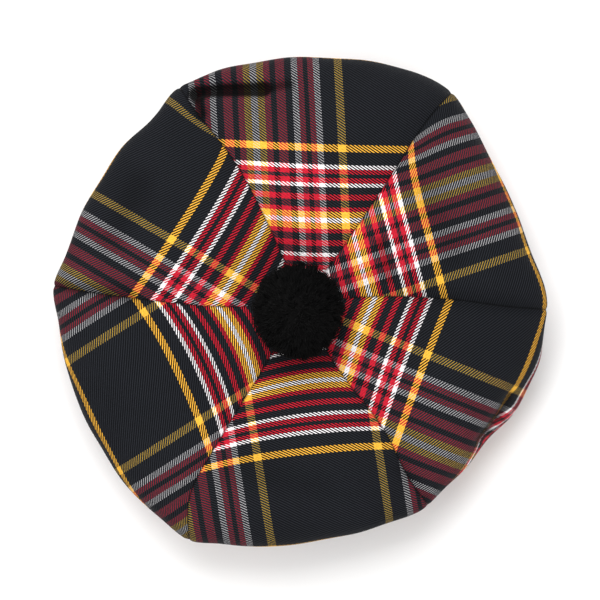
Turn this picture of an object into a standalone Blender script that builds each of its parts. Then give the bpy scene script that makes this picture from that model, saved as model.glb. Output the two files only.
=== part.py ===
"""A tam o' shanter: six cloth gores, a headband and a pompom, in metres with +Z up.

The crown is one soft surface. A table of sections takes it from the middle of the crown over the
rim and under to the headband, and a table of gores gives its seams and the reach of its rim.
Each gore is a thin closed shell cut from that surface between two seams. The hat stands on its
headband, with the middle of its outline at the origin.
"""

import math
import random
from collections import namedtuple

import bmesh
import bpy
import numpy as np
from mathutils import Matrix, Vector

MM = 0.001

# ---- driving sizes -------------------------------------------------------------------------
CLOTH_THICK = 1.6 * MM
SEAM_GAP = 0.35 * MM
SEAM_WIDTH = 6.0 * MM
CROWN_CENTRE = np.array((1.0, -1.0)) * MM

BAND_RADIUS = 93.5 * MM
BAND_THICK = 2.0 * MM
BAND_HEIGHT = 27.0 * MM
BAND_EDGE = 0.6 * MM
BAND_SEGMENTS = 72
BAND_CLEARANCE = 0.8 * MM
GORE_END_RADIUS = BAND_RADIUS + BAND_CLEARANCE

POMPOM_CENTRE = np.array((-1.0, -5.5, 76.2)) * MM
POMPOM_RADII = np.array((28.3, 29.6, 24.6)) * MM
POMPOM_CORE_SHARE = 0.82
POMPOM_LOCKS = 110
POMPOM_VOXEL = 2.8 * MM
LOCK_ROOT_RADIUS = 4.6 * MM
LOCK_TIP_RADIUS = 2.0 * MM
LOCK_SIDES = 6
LOCK_LENGTH_SPREAD = 0.07
LOCK_SEED = 7

# ---- sections of the crown, from its middle over the rim to the headband ---------------------
# side: "top" runs from the crown's middle to the rim, "under" from the rim to the headband.
# share: how far out the section lies, of the rim's radius on top, and of the way from the
# headband to the rim under it. height: above the floor. sharp_ is where the rim folds flat, and
# soft_ where it hangs round and full. seam_dip: how far a seam sinks. puff: how far a gore rises.
Section = namedtuple(
    "Section", "side sharp_share sharp_height soft_share soft_height seam_dip puff"
)
SECTIONS = (
    Section("top", 0.025, 51.0, 0.025, 51.0, 0.0, 0.0),
    Section("top", 0.070, 52.4, 0.070, 52.4, 0.2, 0.0),
    Section("top", 0.140, 54.4, 0.140, 54.6, 0.6, 0.4),
    Section("top", 0.240, 56.4, 0.240, 57.0, 1.2, 1.0),
    Section("top", 0.350, 57.6, 0.350, 58.8, 1.7, 1.7),
    Section("top", 0.460, 58.2, 0.460, 59.8, 2.0, 2.2),
    Section("top", 0.570, 58.3, 0.570, 59.9, 2.1, 2.4),
    Section("top", 0.670, 58.0, 0.670, 58.9, 2.1, 2.4),
    Section("top", 0.760, 57.3, 0.760, 56.6, 2.1, 2.1),
    Section("top", 0.840, 56.0, 0.840, 52.6, 2.0, 1.6),
    Section("top", 0.905, 54.2, 0.905, 47.0, 1.8, 1.0),
    Section("top", 0.955, 51.8, 0.950, 40.2, 0.9, 0.5),
    Section("top", 0.985, 48.6, 0.982, 32.0, 0.3, 0.2),
    Section("top", 1.000, 44.0, 1.000, 22.5, 0.0, 0.0),
    Section("under", 0.975, 39.2, 0.965, 16.5, 0.3, 0.2),
    Section("under", 0.900, 34.8, 0.880, 13.2, 1.0, 0.6),
    Section("under", 0.770, 31.0, 0.750, 11.8, 1.3, 1.0),
    Section("under", 0.600, 28.2, 0.580, 11.8, 1.3, 1.2),
    Section("under", 0.420, 26.0, 0.400, 13.2, 1.1, 1.0),
    Section("under", 0.230, 24.2, 0.220, 16.2, 0.8, 0.7),
    Section("under", 0.080, 22.9, 0.080, 20.0, 0.3, 0.2),
    Section("under", 0.000, 22.4, 0.000, 22.4, 0.0, 0.0),
)

# ---- gores, counter-clockwise from the top of the photo ---------------------------------------
# inner, middle, shoulder, rim: azimuth in degrees of the seam that starts the gore, at the
# SEAM_SHARES of the way out. reach_...: the rim's radius in mm at the seam and across the gore.
# soft_...: how soft the rim is at the seam and in the gore's middle, from a sharp fold at 0 to a
# full round at 1.
SEAM_SHARES = (0.25, 0.60, 0.85, 1.00)
REACH_SHARES = (0.0, 0.125, 0.375, 0.625, 0.875)
SOFT_SHARES = (0.0, 0.5)
Gore = namedtuple(
    "Gore",
    "name inner middle shoulder rim soft_seam soft_middle "
    "reach_seam reach_eighth reach_left reach_right reach_last",
)
GORES = (
    Gore("crown_gore_1", 53.0, 54.5, 55.0, 54.0, 0.35, 0.05, 147, 146, 140, 138, 139),
    Gore("crown_gore_2", 112.5, 115.0, 118.5, 119.5, 0.00, 0.00, 140, 135, 133, 133, 136),
    Gore("crown_gore_3", 184.0, 179.5, 177.5, 176.5, 0.05, 0.25, 140.5, 138, 139.5, 142, 146),
    Gore("crown_gore_4", 240.0, 239.5, 240.5, 245.0, 0.15, 0.00, 150, 145, 139, 136, 137),
    Gore("crown_gore_5", 298.0, 303.0, 301.5, 302.0, 0.10, 1.00, 137, 135, 135, 140, 141),
    Gore("crown_gore_6", 365.0, 361.0, 358.5, 358.0, 0.15, 0.60, 140, 137.5, 133, 134.5, 142),
)
FULL_TURN = 360.0
RIM_SECTION = [section.side for section in SECTIONS].index("under") - 1
LAST_SECTION = len(SECTIONS) - 1

# Where the cuts of a gore's mesh lie across it: closer together beside the seams.
GORE_CUTS = (0.0, 0.03, 0.09, 0.17, 0.26, 0.36, 0.455, 0.545, 0.64, 0.74, 0.83, 0.91, 0.97, 1.0)

# ---- folds and dents of the upper side --------------------------------------------------------
# A fold runs straight from (x1, y1) to (x2, y2), in mm. Its cloth rises by rise, or sinks if that
# is negative, and the rise fades over spread on each side and at each end.
Fold = namedtuple("Fold", "name x1 y1 x2 y2 spread rise")
FOLDS = (
    Fold("rim tuck", -59.0, 119.5, -22.0, 120.0, 4.0, -6.0),
    Fold("rim tuck tail", -20.0, 120.5, -6.0, 122.5, 4.0, -2.5),
    Fold("rim tuck lip", -58.0, 127.0, -22.0, 129.0, 4.5, 1.0),
    Fold("tuck end", -60.0, 118.0, -56.0, 106.0, 4.0, -3.0),
    Fold("left seam crease", -138.0, 9.0, -96.0, 2.5, 5.0, -2.2),
    Fold("right seam crease", 62.0, 3.0, 136.0, -6.0, 6.0, -1.4),
    Fold("lower right crease", 120.0, -54.0, 103.0, -79.0, 3.6, -3.0),
    Fold("lower seam crease", 57.0, -94.0, 72.0, -112.0, 5.0, -1.6),
    Fold("rumple by the pompom", 24.0, 44.0, 38.0, 20.0, 6.0, 2.0),
    Fold("rumple dip", 44.0, 34.0, 49.0, 14.0, 5.0, -2.4),
    Fold("soft hollow", 70.0, 60.0, 86.0, 28.0, 18.0, -1.6),
    Fold("soft hollow low", -40.0, -96.0, 10.0, -104.0, 16.0, -1.4),
    Fold("soft hollow left", -92.0, 66.0, -106.0, 36.0, 15.0, -1.6),
)


def through(x, knots, values):
    """A smooth curve through a table's values, read at x."""
    knots = np.asarray(knots, float)
    values = np.asarray(values, float)
    slopes = np.gradient(values, knots)
    low = np.clip(np.searchsorted(knots, x, side="right") - 1, 0, len(knots) - 2)
    width = knots[low + 1] - knots[low]
    t = (x - knots[low]) / width
    start = (1 + 2 * t) * (1 - t) ** 2 * values[low] + t * (1 - t) ** 2 * width * slopes[low]
    end = t * t * (3 - 2 * t) * values[low + 1] - t * t * (1 - t) * width * slopes[low + 1]
    return start + end


def column(name, at):
    """One column of the section table, read at the section positions at."""
    return through(at, range(len(SECTIONS)), [getattr(section, name) for section in SECTIONS])


def band_pull(name, at):
    """How much of the headband's radius a section has: what the rim's share leaves, below."""
    shares = [(s.side == "under") * (1 - getattr(s, name)) for s in SECTIONS]
    return through(at, range(len(SECTIONS)), shares)


def softness(index, across):
    """How soft the rim is at a share across gore index, smooth from gore to gore."""
    knots = []
    values = []
    for step in (-1, 0, 1, 2):
        gore = GORES[(index + step) % len(GORES)]
        knots += [step + share for share in SOFT_SHARES]
        values += [gore.soft_seam, gore.soft_middle]
    return through(across, knots, values)


def profile(index, across, at):
    """Share of the rim's radius, share of the headband's radius and height of each point."""
    soft = softness(index, across)
    rim_share = column("sharp_share", at) * (1 - soft) + column("soft_share", at) * soft
    band_share = band_pull("sharp_share", at) * (1 - soft) + band_pull("soft_share", at) * soft
    height = column("sharp_height", at) * (1 - soft) + column("soft_height", at) * soft
    return rim_share, band_share, height * MM


def seam_azimuth(index, rim_share, on_top):
    """Azimuth in degrees of the seam that starts gore index, counted on past a full turn."""
    turns, place = divmod(index, len(GORES))
    gore = GORES[place]
    table = (gore.inner, gore.middle, gore.shoulder, gore.rim)
    share = np.clip(rim_share, SEAM_SHARES[0], SEAM_SHARES[-1])
    return np.where(on_top, through(share, SEAM_SHARES, table), gore.rim) + FULL_TURN * turns


def rim_reach(index, across):
    """Radius of the rim at a share across gore index, smooth from gore to gore."""
    knots = []
    values = []
    for step in (-1, 0, 1):
        gore = GORES[(index + step) % len(GORES)]
        knots += [step + share for share in REACH_SHARES]
        values += list(gore[-len(REACH_SHARES) :])
    return through(across, knots, values) * MM


def fold_rise(x, y):
    """Height that all folds together add at a place on the upper side."""
    rise = np.zeros_like(x)
    for fold in FOLDS:
        start = np.array((fold.x1, fold.y1)) * MM
        run = np.array((fold.x2, fold.y2)) * MM - start
        length = math.hypot(*run)
        along = ((x - start[0]) * run[0] + (y - start[1]) * run[1]) / length
        aside = ((x - start[0]) * run[1] - (y - start[1]) * run[0]) / length
        past_end = np.maximum(np.maximum(-along, along - length), 0)
        spread = fold.spread * MM
        rise += fold.rise * MM * np.exp(-(aside**2 + past_end**2) / spread**2)
    return rise


def crown_point(index, across, at, depth=0.0):
    """A point of gore index: across from seam to seam, at a section, depth inside the cloth."""
    across, at = np.broadcast_arrays(np.asarray(across, float), np.asarray(at, float))
    rim_share, band_share, height = profile(index, across, at)
    on_top = at <= RIM_SECTION
    first = np.radians(seam_azimuth(index, rim_share, on_top))
    last = np.radians(seam_azimuth(index + 1, rim_share, on_top))
    reach = rim_reach(index, across)
    radius = rim_share * reach + band_share * GORE_END_RADIUS
    half_gap = SEAM_GAP / 2 / radius
    azimuth = first + half_gap + across * (last - first - 2 * half_gap)

    step = 0.01
    rim_before, band_before, before = profile(index, across, np.maximum(at - step, 0))
    rim_after, band_after, after = profile(index, across, np.minimum(at + step, LAST_SECTION))
    outward = (rim_after - rim_before) * reach + (band_after - band_before) * GORE_END_RADIUS
    upward = after - before
    length = np.hypot(outward, upward)
    normal_out = -upward / length
    normal_up = outward / length

    width = radius * (last - first)
    from_seam = np.minimum(across, 1 - across) * width
    dip = column("seam_dip", at) * MM * np.exp(-((from_seam / SEAM_WIDTH) ** 2))
    puff = column("puff", at) * MM * np.sin(math.pi * across)
    x = radius * np.cos(azimuth)
    y = radius * np.sin(azimuth)
    folds = fold_rise(x, y) * np.clip(1.3 * normal_up - 0.1, 0, 1) * (at > 1)
    rise = puff - dip + folds - depth

    from_centre = 1 - rim_share - band_share
    x = CROWN_CENTRE[0] * from_centre + (radius + rise * normal_out) * np.cos(azimuth)
    y = CROWN_CENTRE[1] * from_centre + (radius + rise * normal_out) * np.sin(azimuth)
    z = height + rise * normal_up
    return np.stack((x, y, z), axis=-1)


def add_object(name, bm, colour, roughness):
    """Turn a finished bmesh into a named object with its own smooth-shaded material."""
    bmesh.ops.recalc_face_normals(bm, faces=bm.faces)
    if bm.calc_volume(signed=True) < 0:
        bmesh.ops.reverse_faces(bm, faces=bm.faces)
    mesh = bpy.data.meshes.new(name)
    bm.to_mesh(mesh)
    bm.free()
    mesh.polygons.foreach_set("use_smooth", [True] * len(mesh.polygons))
    material = bpy.data.materials.new(name + "_cloth")
    material.use_nodes = True
    shader = material.node_tree.nodes["Principled BSDF"]
    shader.inputs["Base Color"].default_value = (*colour, 1.0)
    shader.inputs["Roughness"].default_value = roughness
    shader.inputs["Metallic"].default_value = 0.0
    mesh.materials.append(material)
    made = bpy.data.objects.new(name, mesh)
    bpy.context.collection.objects.link(made)
    return made


def gore(index):
    """One cloth gore: a flat grid, extruded to two skins, then laid onto the crown's surface."""
    bm = bmesh.new()
    cuts = len(GORE_CUTS) - 1
    rows = LAST_SECTION
    bmesh.ops.create_grid(bm, x_segments=cuts, y_segments=rows, size=0.5)
    made = bmesh.ops.extrude_face_region(bm, geom=bm.faces[:], use_keep_orig=True)
    inner = {item for item in made["geom"] if isinstance(item, bmesh.types.BMVert)}
    verts = bm.verts[:]
    across = [GORE_CUTS[round((vert.co.x + 0.5) * cuts)] for vert in verts]
    at = [round((vert.co.y + 0.5) * rows) for vert in verts]
    depth = np.array([CLOTH_THICK if vert in inner else 0.0 for vert in verts])
    for vert, point in zip(verts, crown_point(index, across, at, depth)):
        vert.co = point
    return add_object(GORES[index].name, bm, (0.020, 0.021, 0.026), 0.85)


def headband():
    """The band: its cloth section, folded flat below, turned once round the head opening."""
    inside = BAND_RADIUS - BAND_THICK
    section = (
        (inside, 0.0),
        (BAND_RADIUS, 0.0),
        (BAND_RADIUS, BAND_HEIGHT - BAND_EDGE),
        (BAND_RADIUS - BAND_EDGE, BAND_HEIGHT),
        (inside + BAND_EDGE, BAND_HEIGHT),
        (inside, BAND_HEIGHT - BAND_EDGE),
    )
    bm = bmesh.new()
    verts = [bm.verts.new((radius, 0.0, height)) for radius, height in section]
    edges = [bm.edges.new((verts[i - 1], verts[i])) for i in range(len(verts))]
    bmesh.ops.spin(
        bm,
        geom=verts + edges,
        cent=(0, 0, 0),
        axis=(0, 0, 1),
        angle=math.tau,
        steps=BAND_SEGMENTS,
        use_merge=True,
    )
    return add_object("headband", bm, (0.012, 0.012, 0.014), 0.9)


def lock_directions():
    """Unit vectors spread evenly over a ball, along a spiral from top to bottom."""
    golden_angle = math.pi * (3 - math.sqrt(5))
    for i in range(POMPOM_LOCKS):
        height = 1 - 2 * (i + 0.5) / POMPOM_LOCKS
        level = math.sqrt(1 - height * height)
        yield Vector((level * math.cos(golden_angle * i), level * math.sin(golden_angle * i), height))


def pompom():
    """A round head with tapered locks of yarn that a voxel remesh fuses to it."""
    rng = random.Random(LOCK_SEED)
    bm = bmesh.new()
    head = Matrix.Diagonal((*(POMPOM_RADII * POMPOM_CORE_SHARE), 1.0))
    bmesh.ops.create_icosphere(bm, subdivisions=3, radius=1.0, matrix=head)
    for direction in lock_directions():
        share = 1.0 - LOCK_LENGTH_SPREAD * rng.random()
        tip = Vector(POMPOM_RADII * np.array(direction)) * share
        length = tip.length / 2
        turn = direction.to_track_quat("Z", "Y").to_matrix().to_4x4()
        bmesh.ops.create_cone(
            bm,
            cap_ends=True,
            segments=LOCK_SIDES,
            radius1=LOCK_ROOT_RADIUS,
            radius2=LOCK_TIP_RADIUS,
            depth=length,
            matrix=Matrix.Translation(tip * 0.75) @ turn,
        )
    made = add_object("pompom", bm, (0.006, 0.006, 0.007), 0.95)
    made.location = POMPOM_CENTRE
    fuse = made.modifiers.new("fuse_locks", "REMESH")
    fuse.mode = "VOXEL"
    fuse.voxel_size = POMPOM_VOXEL
    fuse.use_smooth_shade = True
    return made


def build():
    """Clear the scene and make the whole hat."""
    for old in list(bpy.data.objects):
        bpy.data.objects.remove(old, do_unlink=True)
    for index in range(len(GORES)):
        gore(index)
    headband()
    pompom()


build()
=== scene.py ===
"""The looks of a tam o' shanter: tartan twill gores, a black headband and a yarn pompom.

The crown's surface is the same table of sections and gores that the solids are cut from, laid out
finely, with the seams' puckers and the cloth's soft waves added. The tartan is woven in each gore
along that gore's own warp and weft, from one table of stripes.

x runs to the photo's right, y to its top and z up from the floor, all from the hat's axis. The
tables are in mm and degrees, and the scene is in metres.
"""

import math
from collections import namedtuple

import bpy
import numpy as np
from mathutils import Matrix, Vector


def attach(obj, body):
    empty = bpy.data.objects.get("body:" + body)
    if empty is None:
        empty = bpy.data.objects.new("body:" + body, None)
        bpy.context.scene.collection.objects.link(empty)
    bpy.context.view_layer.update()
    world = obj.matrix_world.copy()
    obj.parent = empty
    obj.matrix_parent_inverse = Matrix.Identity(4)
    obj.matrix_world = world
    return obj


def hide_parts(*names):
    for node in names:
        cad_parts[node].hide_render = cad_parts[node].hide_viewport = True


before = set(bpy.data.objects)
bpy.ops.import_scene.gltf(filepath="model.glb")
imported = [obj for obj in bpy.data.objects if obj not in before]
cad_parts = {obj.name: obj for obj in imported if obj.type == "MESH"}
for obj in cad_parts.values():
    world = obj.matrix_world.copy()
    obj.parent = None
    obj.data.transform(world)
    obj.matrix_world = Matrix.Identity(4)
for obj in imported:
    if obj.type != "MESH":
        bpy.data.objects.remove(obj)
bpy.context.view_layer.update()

MM = 0.001

# ---- the crown's surface, as the solids have it -------------------------------------------------
# The gores meet round CROWN_CENTRE and are sewn to the band at GORE_END_RADIUS. SEAM_WIDTH: how
# far from a seam its dip reaches. SLOPE_STEP: the part of a section that a slope is read over.
CLOTH_THICK = 1.6 * MM
SEAM_GAP = 0.02 * MM
SEAM_WIDTH = 6.0 * MM
CROWN_CENTRE = np.array((1.0, -1.0)) * MM
GORE_END_RADIUS = 94.3 * MM
SLOPE_STEP = 0.01

# side: "top" runs from the crown's middle to the rim, "under" from the rim to the headband.
# share: how far out the section lies, of the rim's radius on top, and of the way from the
# headband to the rim under it. height: above the floor. sharp_ is where the rim folds flat, and
# soft_ where it hangs round and full. seam_dip: how far a seam sinks. puff: how far a gore rises.
# Heights, dips and puffs are in mm.
Section = namedtuple(
    "Section", "side sharp_share sharp_height soft_share soft_height seam_dip puff"
)
SECTIONS = (
    Section("top", 0.025, 51.0, 0.025, 51.0, 0.0, 0.0),
    Section("top", 0.070, 52.4, 0.070, 52.4, 0.2, 0.0),
    Section("top", 0.140, 54.4, 0.140, 54.6, 0.6, 0.4),
    Section("top", 0.240, 56.4, 0.240, 57.0, 1.2, 1.0),
    Section("top", 0.350, 57.6, 0.350, 58.8, 1.7, 1.7),
    Section("top", 0.460, 58.2, 0.460, 59.8, 2.0, 2.2),
    Section("top", 0.570, 58.3, 0.570, 59.9, 2.1, 2.4),
    Section("top", 0.670, 58.0, 0.670, 58.9, 2.1, 2.4),
    Section("top", 0.760, 57.3, 0.760, 56.6, 2.1, 2.1),
    Section("top", 0.840, 56.0, 0.840, 52.6, 2.0, 1.6),
    Section("top", 0.905, 54.2, 0.905, 47.0, 1.8, 1.0),
    Section("top", 0.955, 51.8, 0.950, 40.2, 0.9, 0.5),
    Section("top", 0.985, 48.6, 0.982, 32.0, 0.3, 0.2),
    Section("top", 1.000, 44.0, 1.000, 22.5, 0.0, 0.0),
    Section("under", 0.975, 39.2, 0.965, 16.5, 0.3, 0.2),
    Section("under", 0.900, 34.8, 0.880, 13.2, 1.0, 0.6),
    Section("under", 0.770, 31.0, 0.750, 11.8, 1.3, 1.0),
    Section("under", 0.600, 28.2, 0.580, 11.8, 1.3, 1.2),
    Section("under", 0.420, 26.0, 0.400, 13.2, 1.1, 1.0),
    Section("under", 0.230, 24.2, 0.220, 16.2, 0.8, 0.7),
    Section("under", 0.080, 22.9, 0.080, 20.0, 0.3, 0.2),
    Section("under", 0.000, 22.4, 0.000, 22.4, 0.0, 0.0),
)
RIM_SECTION = [section.side for section in SECTIONS].index("under") - 1
LAST_SECTION = len(SECTIONS) - 1

# inner, middle, shoulder, rim: azimuth in degrees of the seam that starts the gore, at four
# places on the way out. reach_...: the rim's radius in mm at the seam and across the gore.
# soft_...: how soft the rim is at the seam and in the gore's middle, from a sharp fold at 0 to a
# full round at 1.
Gore = namedtuple(
    "Gore",
    "name inner middle shoulder rim soft_seam soft_middle "
    "reach_seam reach_eighth reach_left reach_right reach_last",
)
GORES = (
    Gore("crown_gore_1", 53.0, 54.5, 55.0, 54.0, 0.35, 0.05, 147, 146, 140, 138, 139),
    Gore("crown_gore_2", 112.5, 115.0, 118.5, 119.5, 0.00, 0.00, 140, 135, 133, 133, 136),
    Gore("crown_gore_3", 184.0, 179.5, 177.5, 176.5, 0.05, 0.25, 140.5, 138, 139.5, 142, 146),
    Gore("crown_gore_4", 240.0, 239.5, 240.5, 245.0, 0.15, 0.00, 150, 145, 139, 136, 137),
    Gore("crown_gore_5", 298.0, 303.0, 301.5, 302.0, 0.10, 1.00, 137, 135, 135, 140, 141),
    Gore("crown_gore_6", 365.0, 361.0, 358.5, 358.0, 0.15, 0.60, 140, 137.5, 133, 134.5, 142),
)
FULL_TURN = 360.0

# Where the columns of the gore table are read: as shares of the way out along the seam, and as
# shares of the way across the gore.
SEAM_AT = {"inner": 0.25, "middle": 0.60, "shoulder": 0.85, "rim": 1.00}
SOFT_AT = {"soft_seam": 0.0, "soft_middle": 0.5}
REACH_AT = {
    "reach_seam": 0.0,
    "reach_eighth": 0.125,
    "reach_left": 0.375,
    "reach_right": 0.625,
    "reach_last": 0.875,
}

# A fold runs straight from (x1, y1) to (x2, y2), in mm. Its cloth rises by rise, or sinks if that
# is negative, and the rise fades over spread on each side and at each end.
Fold = namedtuple("Fold", "name x1 y1 x2 y2 spread rise")
FOLDS = (
    Fold("rim tuck", -59.0, 119.5, -22.0, 120.0, 4.0, -6.0),
    Fold("rim tuck tail", -20.0, 120.5, -6.0, 122.5, 4.0, -2.5),
    Fold("rim tuck lip", -58.0, 127.0, -22.0, 129.0, 4.5, 1.0),
    Fold("tuck end", -60.0, 118.0, -56.0, 106.0, 4.0, -3.0),
    Fold("left seam crease", -138.0, 9.0, -96.0, 2.5, 5.0, -2.2),
    Fold("right seam crease", 62.0, 3.0, 136.0, -6.0, 6.0, -1.4),
    Fold("lower right crease", 120.0, -54.0, 103.0, -79.0, 3.6, -3.0),
    Fold("lower seam crease", 57.0, -94.0, 72.0, -112.0, 5.0, -1.6),
    Fold("rumple by the pompom", 24.0, 44.0, 38.0, 20.0, 6.0, 2.0),
    Fold("rumple dip", 44.0, 34.0, 49.0, 14.0, 5.0, -2.4),
    Fold("soft hollow", 70.0, 60.0, 86.0, 28.0, 18.0, -1.6),
    Fold("soft hollow low", -40.0, -96.0, 10.0, -104.0, 16.0, -1.4),
    Fold("soft hollow left", -92.0, 66.0, -106.0, 36.0, 15.0, -1.6),
)
# A fold shows in full on level cloth and dies off as the cloth turns down: its share is the
# cloth's upward facing times the gain, less the loss. The gathered middle has no folds.
FOLD_GAIN = 1.3
FOLD_LOSS = 0.1
LAST_GATHERED_SECTION = 1

# ---- what the eye sees and the solids leave out -------------------------------------------------
ROWS_PER_SECTION = 9
CUTS_ACROSS = 88
# How much of the cuts' spacing crowds them towards the seams. The rest spreads them evenly.
CROWDED_SHARE = 0.6
SEAM_GROOVE = 0.5 * MM
SEAM_GROOVE_WIDTH = 1.3 * MM
PUCKER_RISE = 0.35 * MM
PUCKER_PITCH = 9.0 * MM
PUCKER_WIDTH = 7.0 * MM
# The puckers' spacing wanders: how far their wave is shifted, and how far the wander goes through
# its own wave in each pitch, both in radians.
PUCKER_WANDER = 0.8
PUCKER_WANDER_RATE = 1.7
WAVE_SEED = 11
WAVES = 14
WAVE_RISE = 0.22 * MM
WAVE_LENGTHS = (28.0 * MM, 75.0 * MM)
# How many sections the puckers and the waves take to fade out at a gore's two ends.
PUCKER_FADE = 2
WAVE_FADE = 3
BAND_FADE = 2

# ---- the tartan ---------------------------------------------------------------------------------
# Half of the repeat, from the middle of the broad black to the middle of the white and yellow
# band. It is woven there and back. warp: how wide the stripe is among the warp yarns, where it is
# one of the dim stripes. weft: how wide it is among the weft yarns, where it is a bright one.
Stripe = namedtuple("Stripe", "colour warp weft")
SETT = (
    Stripe("black", 31.5, 27.0),
    Stripe("yellow", 4.5, 4.0),
    Stripe("black", 8.5, 7.5),
    Stripe("white", 3.25, 2.25),
    Stripe("red", 3.25, 3.0),
    Stripe("black", 2.5, 2.0),
    Stripe("red", 3.5, 3.0),
    Stripe("white", 3.25, 2.25),
    Stripe("black", 4.0, 4.0),
    Stripe("red", 5.0, 3.5),
    Stripe("black", 3.25, 4.0),
    Stripe("red", 3.5, 2.5),
    Stripe("yellow", 4.0, 3.5),
    Stripe("white", 2.0, 1.5),
)

# Each yarn's red, green and blue, as it looks in the warp and in the weft. The black warp is far
# darker than the black weft: painted shade in the dark lines between the black ground's wales.
Yarn = namedtuple("Yarn", "warp weft")
YARNS = {
    "black": Yarn((0.004, 0.0045, 0.006), (0.017, 0.0185, 0.023)),
    "yellow": Yarn((0.86, 0.54, 0.05), (0.90, 0.46, 0.05)),
    "white": Yarn((0.85, 0.83, 0.84), (0.90, 0.86, 0.87)),
    "red": Yarn((0.58, 0.016, 0.036), (0.54, 0.014, 0.032)),
}

# From one warp yarn and one weft yarn to the next, and how many of them the twill repeats over.
WARP_PITCH = 0.80 * MM
WEFT_PITCH = 0.533 * MM
TWILL_REPEAT = 3

# How the cloth lies in each gore. weft_azimuth: the way square across the bright stripes.
# yellow_at: how far that way their yellow line lies, in mm from the hat's axis. warp_azimuth: the
# way that the dim stripes run. black_at: how far to the left of a line that runs that way from
# the axis the middle of their broad black lies, in mm. swing_start, swing_end: how far out, in
# mm, the bright stripes swing at the gore's two seams.
Lay = namedtuple("Lay", "weft_azimuth yellow_at warp_azimuth black_at swing_start swing_end")
LAYS = (
    Lay(88.0, 87.0, 92.5, -61.0, 1.5, 1.5),
    Lay(146.5, 80.0, 150.0, -28.0, 2.5, 1.5),
    Lay(205.5, 79.5, 213.0, -9.0, 5.5, 4.5),
    Lay(275.5, 84.0, 279.5, -4.5, 6.0, 3.0),
    Lay(339.5, 77.0, 338.0, 33.0, 2.0, 2.0),
    Lay(374.5, 79.0, 378.0, -46.5, 0.0, 0.0),
)
SWING_WIDTH = 18.0 * MM

# Cloth that a seam draws in beside it, so that the checks bend towards the seam. side: the seam at
# the gore's start or end. share: how far out the pull is greatest. fade: over how much of the way
# it dies off. drawn and width, in mm: how much, and how far from the seam.
Pull = namedtuple("Pull", "gore side share fade drawn width")
PULLS = (
    Pull("crown_gore_6", "end", 0.74, 0.12, 6.0, 9.0),
    Pull("crown_gore_2", "start", 0.84, 0.16, 6.0, 9.0),
)

# Cloth that is folded out of sight along a crease from (x1, y1) to (x2, y2), in mm: what lies to
# the left of the crease has slid outwards by hidden, and so has the cloth under the rim there.
Tuck = namedtuple("Tuck", "gore x1 y1 x2 y2 hidden")
TUCKS = (Tuck("crown_gore_5", 120.0, -54.0, 103.0, -79.0, 24.0),)
TUCK_BLUR = 1.2 * MM


def through(x, knots, values):
    """A smooth curve through a table's values, read at x."""
    knots = np.asarray(knots, float)
    values = np.asarray(values, float)
    slopes = np.gradient(values, knots)
    low = np.clip(np.searchsorted(knots, x, side="right") - 1, 0, len(knots) - 2)
    width = knots[low + 1] - knots[low]
    t = (x - knots[low]) / width
    start = (1 + 2 * t) * (1 - t) ** 2 * values[low] + t * (1 - t) ** 2 * width * slopes[low]
    end = t * t * (3 - 2 * t) * values[low + 1] - t * t * (1 - t) * width * slopes[low + 1]
    return start + end


def smooth_step(x):
    """A smooth rise from 0 to 1 as x goes from 0 to 1."""
    x = np.clip(x, 0, 1)
    return x * x * (3 - 2 * x)


def column(name, at):
    """One column of the section table, read at the section positions at."""
    return through(at, range(len(SECTIONS)), [getattr(section, name) for section in SECTIONS])


def band_pull(name, at):
    """How much of the headband's radius a section has: what the rim's share leaves, below."""
    shares = [(s.side == "under") * (1 - getattr(s, name)) for s in SECTIONS]
    return through(at, range(len(SECTIONS)), shares)


def round_the_crown(index, across, places):
    """Columns of the gore table, given with their places, read smoothly from gore to gore."""
    steps = (-1, 0, 1, 2)
    gores = [GORES[(index + step) % len(GORES)] for step in steps]
    knots = [step + share for step in steps for share in places.values()]
    return through(across, knots, [getattr(gore, name) for gore in gores for name in places])


def profile(index, across, at):
    """Share of the rim's radius, share of the headband's radius and height of each point."""
    soft = round_the_crown(index, across, SOFT_AT)

    def between(read, name):
        return read("sharp_" + name, at) * (1 - soft) + read("soft_" + name, at) * soft

    return between(column, "share"), between(band_pull, "share"), between(column, "height") * MM


def seam_azimuth(index, rim_share, on_top):
    """Azimuth in degrees of the seam that starts gore index, counted on past a full turn."""
    turns, place = divmod(index, len(GORES))
    gore = GORES[place]
    share = np.clip(rim_share, SEAM_AT["inner"], SEAM_AT["rim"])
    on_seam = through(share, list(SEAM_AT.values()), [getattr(gore, name) for name in SEAM_AT])
    return np.where(on_top, on_seam, gore.rim) + FULL_TURN * turns


# first: azimuth of the seam that starts the gore. turn: from there to the seam that ends it.
Ground = namedtuple(
    "Ground", "rim_share band_share height on_top reach radius first turn from_start from_end"
)


def ground(index, across, at):
    """The smooth lie of a gore, that its folds, puffs and seams are laid on."""
    rim_share, band_share, height = profile(index, across, at)
    on_top = at <= RIM_SECTION
    first = np.radians(seam_azimuth(index, rim_share, on_top))
    turn = np.radians(seam_azimuth(index + 1, rim_share, on_top)) - first
    reach = round_the_crown(index, across, REACH_AT) * MM
    radius = rim_share * reach + band_share * GORE_END_RADIUS
    width = radius * turn
    sides = (width * across, width * (1 - across))
    return Ground(rim_share, band_share, height, on_top, reach, radius, first, turn, *sides)


def facing(index, across, at, reach):
    """Which way the cloth faces at each point of a gore: how far outwards and how far up."""
    rim_before, band_before, before = profile(index, across, np.maximum(at - SLOPE_STEP, 0))
    rim_after, band_after, after = profile(
        index, across, np.minimum(at + SLOPE_STEP, LAST_SECTION)
    )
    outward = (rim_after - rim_before) * reach + (band_after - band_before) * GORE_END_RADIUS
    upward = after - before
    length = np.hypot(outward, upward)
    return -upward / length, outward / length


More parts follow.
